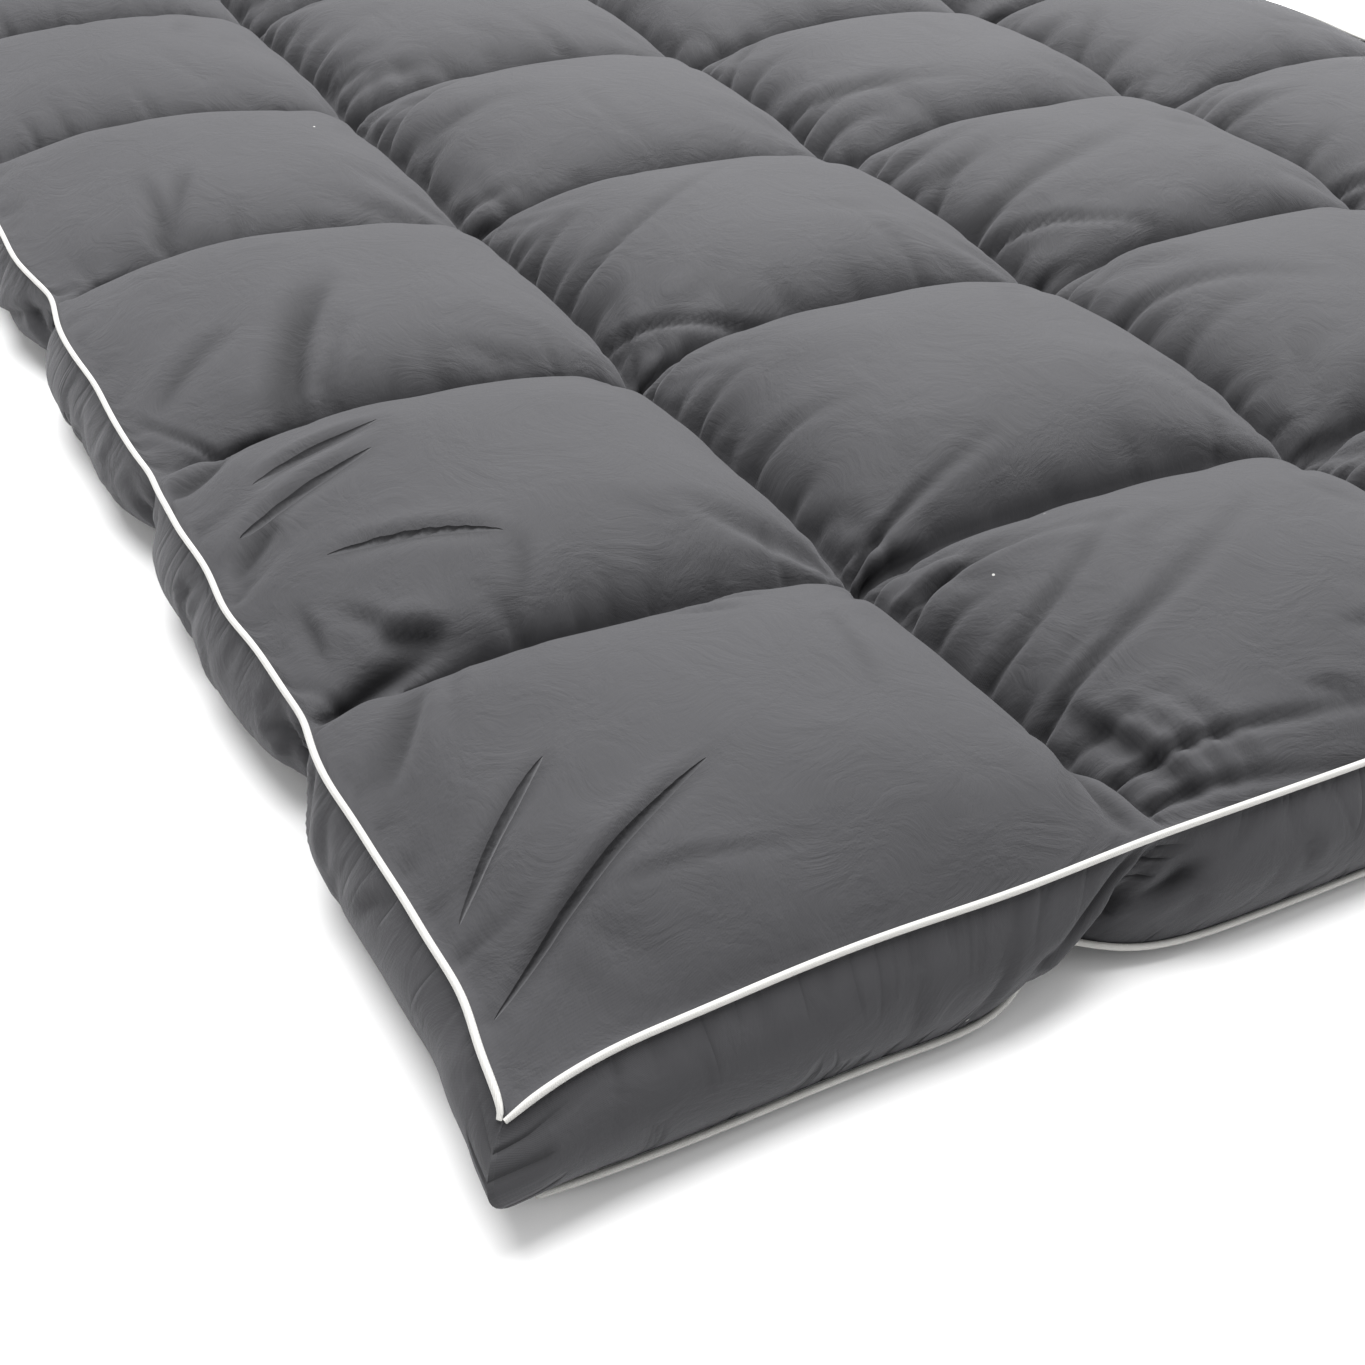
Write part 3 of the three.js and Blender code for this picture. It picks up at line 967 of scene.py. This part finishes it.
crease(bottom_panel, bottom_creases)
under = read_places(bottom_panel.data)
under[:, 2] = np.maximum(under[:, 2], 0)
write_places(bottom_panel.data, under)
shade_smooth(bottom_panel)
bottom_panel.data.materials.append(panel_cloth)
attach(bottom_panel, "root")
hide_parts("bottom_panel")

# --- Piping -----------------------------------------------------------------------------
# Off-white bias tape is folded round a soft cord and sewn into each edge of the borders. One
# length runs along each side, and its ends are tucked into the corners, where they go flat.

piping_radius = 0.0019
cord_radius = 0.0012
stand_out = 0.0022  # how far the middle of the cord lies outside the casing's edge
tucked_in = 0.012  # how much of each end is tucked into the corner


def edge_line(facing, upper):
    """The places along one edge of a border, in order, with the way out of the border."""
    chosen = on_side(facing, flat) & ((share_up > 1 - 1e-3) if upper else (share_up < 1e-3))
    order = flat[chosen] @ np.array([-facing[1], facing[0], 0])
    line = shaped[chosen][np.argsort(order)]
    for _ in range(2):  # the cord is stiffer than the cloth, and rounds off its wiggles
        line[1:-1] = (line[:-2] + 2 * line[1:-1] + line[2:]) / 4
    outwards = np.array([facing[0], facing[1], 0.8 if upper else -0.3])
    return line + stand_out * outwards / np.linalg.norm(outwards)


def tube_along(name, line, radius, flatten):
    """A round tube along a line, flattened and tucked in at its two ends."""
    curve = bpy.data.curves.new(name, "CURVE")
    curve.dimensions = "3D"
    curve.bevel_depth = radius
    curve.bevel_resolution = 2
    curve.use_fill_caps = True
    curve.resolution_u = 2
    spline = curve.splines.new("NURBS")
    spline.points.add(len(line) - 1)
    runs = np.r_[0, np.cumsum(np.linalg.norm(np.diff(line, axis=0), axis=1))]
    from_end = np.minimum(runs, runs[-1] - runs)
    for point, place, away in zip(spline.points, line, from_end):
        end = max(0.0, 1 - away / tucked_in)
        point.co = (*(place - (0, 0, 0.0012 * end)), 1)
        point.radius = 1 - flatten * end
    spline.use_endpoint_u = True
    spline.order_u = 4
    drawn = new_object(curve, name + "_path")
    evaluated = drawn.evaluated_get(bpy.context.evaluated_depsgraph_get())
    piece = new_object(bpy.data.meshes.new_from_object(evaluated), name)
    bpy.data.objects.remove(drawn)
    shade_smooth(piece)
    return piece


def tape_material():
    """Off-white satin tape: a fine slanting weave, greyer where it has been handled."""
    material, tree = new_material("piping tape")
    place = node(tree, "TexCoord", {})["Object"]
    slanted = node(tree, "Mapping", {"Vector": place, "Rotation": (0.5, 0.4, 0.8)})[0]
    ribs = node(tree, "TexWave", {"Vector": slanted, "Scale": 420.0, "Distortion": 0.6})["Fac"]
    soiling = node(tree, "TexNoise", {"Vector": place, "Scale": 9.0, "Detail": 5.0})["Fac"]
    colour = blend(tree, soiling, (0.44, 0.435, 0.42, 1), (0.31, 0.305, 0.29, 1))
    colour = blend(tree, maths(tree, "MULTIPLY", ribs, 0.25), colour, (0.36, 0.355, 0.34, 1))
    height = maths(tree, "MULTIPLY", ribs, 0.00012)
    finish_material(tree, {
        "Base Color": colour, "Normal": bumped(tree, height),
        "Roughness": maths(tree, "MULTIPLY_ADD", soiling, 0.25, 0.38),
        "Sheen Weight": 0.1, "Specular IOR Level": 0.35})
    return material


def cotton_material():
    """Natural cotton cord, twisted from soft strands."""
    material, tree = new_material("cotton cord")
    place = node(tree, "TexCoord", {})["Object"]
    strands = node(tree, "TexWave", {"Vector": place, "Scale": 260.0, "Distortion": 3.0,
                                     "Detail": 3.0})["Fac"]
    # Painted shade: darker where the strands lie lower, in the grooves between them.
    colour = blend(tree, strands, (0.62, 0.58, 0.50, 1), (0.40, 0.37, 0.31, 1))
    height = maths(tree, "MULTIPLY", strands, -0.0002)
    finish_material(tree, {
        "Base Color": colour, "Normal": bumped(tree, height), "Roughness": 0.95,
        "Sheen Weight": 0.3})
    return material


tape_look = tape_material()
cord_look = cotton_material()
for side, (facing, half_run, box) in border_sides.items():
    for level, upper in (("top", True), ("bottom", False)):
        line = edge_line(facing, upper)
        tape_piece = tube_along(f"{level}_piping_tape_{side}", line, piping_radius, 0.3)
        cord_piece = tube_along(f"{level}_filler_cord_{side}", line[2:-2], cord_radius, 0.4)
        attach(tape_piece, "root")
        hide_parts(f"{level}_piping_{side}")
        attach(cord_piece, "root")
        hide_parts(f"{level}_piping_cord_{side}")
        tape_piece.data.materials.append(tape_look)
        cord_piece.data.materials.append(cord_look)
bpy.data.objects.remove(casing)

# --- Baffles ----------------------------------------------------------------------------
# Strips of thin lining cloth stand on edge under the quilting seams and tie the two panels
# together. The lengthwise and the cross strips are slotted halfway into each other.


def lining_material():
    """Thin undyed lining: an open plain weave, a little creased."""
    material, tree = new_material("baffle lining")
    place = node(tree, "TexCoord", {})["Object"]
    parts = node(tree, "SeparateXYZ", {0: place})
    along = maths(tree, "ADD", parts["X"], parts["Y"])
    unrolled_place = node(tree, "CombineXYZ", {"X": along, "Y": parts["Z"], "Z": 0.0})[0]
    weave = use(tree, weave_group, {"Place": unrolled_place, "Thread": 0.0006})
    worn = use(tree, handling_group, {"Place": place})
    colour = blend(tree, weave["Slub"], (0.62, 0.62, 0.60, 1), (0.42, 0.42, 0.41, 1))
    total = maths(tree, "MULTIPLY", weave["Height"], 0.00012)
    total = maths(tree, "MULTIPLY_ADD", worn["Crumples"], 0.0008, total)
    finish_material(tree, {
        "Base Color": colour, "Normal": bumped(tree, total),
        "Roughness": maths(tree, "MULTIPLY_ADD", weave["Slub"], 0.2, 0.75)})
    return material


lining_look = lining_material()
baffle_thickness = 0.001
slot_half_width = 0.0012
baffle_gap = 0.0015  # under the seam that holds it
baffle_short = 0.060  # how far each end stops short of the border, which is drawn in to it
strip_cells_high = 6


def baffle(name, node, line, crossings, lengthwise):
    """One baffle on its line. Slots open at the top of the lengthwise ones."""
    half_run = (half_length if lengthwise else half_width) - baffle_short
    strip = bmesh.new()
    bmesh.ops.create_grid(strip, x_segments=160, y_segments=strip_cells_high, size=0.5)
    bmesh.ops.scale(strip, vec=(2 * half_run, 1, 1), verts=strip.verts)
    for crossing in crossings:
        for side in (-slot_half_width, slot_half_width):
            bmesh.ops.bisect_plane(
                strip, geom=strip.verts[:] + strip.edges[:] + strip.faces[:],
                plane_co=(crossing + side, 0, 0), plane_no=(1, 0, 0), dist=1e-6)
    slotted = [
        face for face in strip.faces
        if min(abs(face.calc_center_median().x - c) for c in crossings) < slot_half_width
        and (face.calc_center_median().y > 0) == lengthwise]
    bmesh.ops.delete(strip, geom=slotted, context="FACES")
    piece = new_object(mesh_of(strip, name), name)
    places = read_places(piece.data)
    run = places[:, 0]
    share = places[:, 1] + 0.5
    still = np.full_like(run, line)
    x, y = (still, run) if lengthwise else (run, still)
    _, _, u, v = place_in_boxes(x, y)
    foot = lower_seam + baffle_gap
    head = seam_level(x, y, u, v) - baffle_gap
    slack = wander(run, share, 0.003, 9.0, 7 * line) * np.sin(np.pi * share)
    x = x + seam_drift(x, y) * share + (slack if lengthwise else 0)
    y = y + (0 if lengthwise else slack)
    write_places(piece.data, np.stack([x, y, foot + (head - foot) * share], axis=1))
    wall = piece.modifiers.new("thickness", "SOLIDIFY")
    wall.thickness = baffle_thickness
    wall.offset = 0
    piece.data.materials.append(lining_look)
    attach(piece, "root")
    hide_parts(node)


for i, line in enumerate(column_lines, 1):
    baffle(f"lengthwise_baffle_{i}", f"long_baffle_{i}", line, row_lines, True)
for i, line in enumerate(row_lines, 1):
    baffle(f"crosswise_baffle_{i}", f"cross_baffle_{i}", line, column_lines, False)

# --- Filling ----------------------------------------------------------------------------
# Each box is filled with its own pad of loose white fibre, which is lumpy and swells into the
# pillow above it.


def fibre_material():
    """Loose white polyester fibre, matted together in tufts."""
    material, tree = new_material("fibre filling")
    place = node(tree, "TexCoord", {})["Object"]
    tufts = node(tree, "TexNoise", {"Vector": place, "Scale": 55.0, "Detail": 6.0,
                                    "Distortion": 1.4})["Fac"]
    fibres = node(tree, "TexWave", {"Vector": place, "Scale": 90.0, "Distortion": 14.0,
                                    "Detail": 4.0})["Fac"]
    # Painted shade: greyer where the tufts lie lower, between them.
    colour = blend(tree, tufts, (0.58, 0.58, 0.57, 1), (0.86, 0.86, 0.85, 1))
    total = maths(tree, "MULTIPLY_ADD", tufts, 0.004, maths(tree, "MULTIPLY", fibres, 0.0006))
    finish_material(tree, {
        "Base Color": colour, "Normal": bumped(tree, total), "Roughness": 0.95,
        "Sheen Weight": 0.4})
    return material


fibre_look = fibre_material()
pad_cuts = 11
pad_inset = 0.016  # in from the seams
border_inset = 0.042  # in from the borders' flat places
pad_below = 0.012  # under the top panel
pad_above = 0.004  # over the bottom panel


def fibre_pad(column, row):
    """The pad in one box, between the two panels and clear of the borders."""
    built = bmesh.new()
    bmesh.ops.create_cube(built, size=1)
    bmesh.ops.subdivide_edges(built, edges=built.edges, cuts=pad_cuts, use_grid_fill=True)
    name = f"fibre_filling_{row + 1}_{column + 1}"
    pad = new_object(mesh_of(built, name), name)
    places = read_places(pad.data)
    x = (column + 0.5 + places[:, 0]) * box_width - half_width
    y = (row + 0.5 + places[:, 1]) * box_length - half_length
    x -= 2 * places[:, 0] * pad_inset
    y -= 2 * places[:, 1] * pad_inset
    x = np.clip(x, border_inset - half_width, half_width - border_inset)
    y = np.clip(y, border_inset - half_length, half_length - border_inset)
    share = places[:, 2] + 0.5
    top = shape_top(x, y) - pad_below
    foot = shape_bottom(x, y) + pad_above
    lumps = wander(x + share, y - share, 0.0015, 25.0, 2.2)
    x = x + seam_drift(x, y) + lumps
    write_places(pad.data, np.stack([x, y, foot + (top - foot) * share - np.abs(lumps)], axis=1))
    softened = pad.modifiers.new("softened", "SUBSURF")
    softened.levels = softened.render_levels = 1
    shade_smooth(pad)
    pad.data.materials.append(fibre_look)
    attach(pad, "root")
    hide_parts(f"fibre_pad_{row + 1}_{column + 1}")


for row in range(rows):
    for column in range(columns):
        fibre_pad(column, row)

# --- Floor, light and camera ------------------------------------------------------------
# The mattress lies on a plain pale studio floor that runs out of sight, under broad soft
# light from above and behind. The camera looks down at its near corner.

bpy.ops.mesh.primitive_plane_add(size=30)
floor = bpy.context.object
floor.name = "floor"
floor_look = bpy.data.materials.new("floor")
floor_look.use_nodes = True
floor_shader = floor_look.node_tree.nodes["Principled BSDF"]
floor_shader.inputs["Base Color"].default_value = (0.90, 0.90, 0.90, 1)
floor_shader.inputs["Roughness"].default_value = 0.8
floor.data.materials.append(floor_look)

scene = bpy.context.scene
scene.view_settings.view_transform = "Standard"
world = bpy.data.worlds.new("studio")
scene.world = world
world.use_nodes = True
surroundings = world.node_tree.nodes["Background"]
surroundings.inputs["Color"].default_value = (1.0, 1.0, 1.0, 1)
surroundings.inputs["Strength"].default_value = 0.85


def soft_light(name, place, size, watts):
    """A square panel of light, aimed at the middle of the mattress."""
    lamp = bpy.data.lights.new(name, "AREA")
    lamp.size = size
    lamp.energy = watts
    light = new_object(lamp, name)
    light.location = place
    light.rotation_euler = Vector(place).to_track_quat("Z", "Y").to_euler()


soft_light("back light", (1.6, 1.5, 3.3), 2.6, 400)
soft_light("top light", (-0.5, 0.0, 3.2), 2.6, 165)

camera_place = Vector((-0.8905, -1.4757, 0.666))
looking = Vector((0.39766, 0.70681, -0.58505))
roll = math.radians(2.05)

camera_data = bpy.data.cameras.new("camera")
camera_data.lens = 50
camera_data.sensor_width = 36
camera = new_object(camera_data, "camera")
level = looking.cross(Vector((0, 0, 1))).normalized()
upright = level.cross(looking).normalized()
sideways = level * math.cos(roll) + upright * math.sin(roll)
upwards = sideways.cross(looking).normalized()
turn = Matrix((sideways, upwards, -looking)).transposed().to_4x4()
camera.matrix_world = Matrix.Translation(camera_place) @ turn
scene.camera = camera
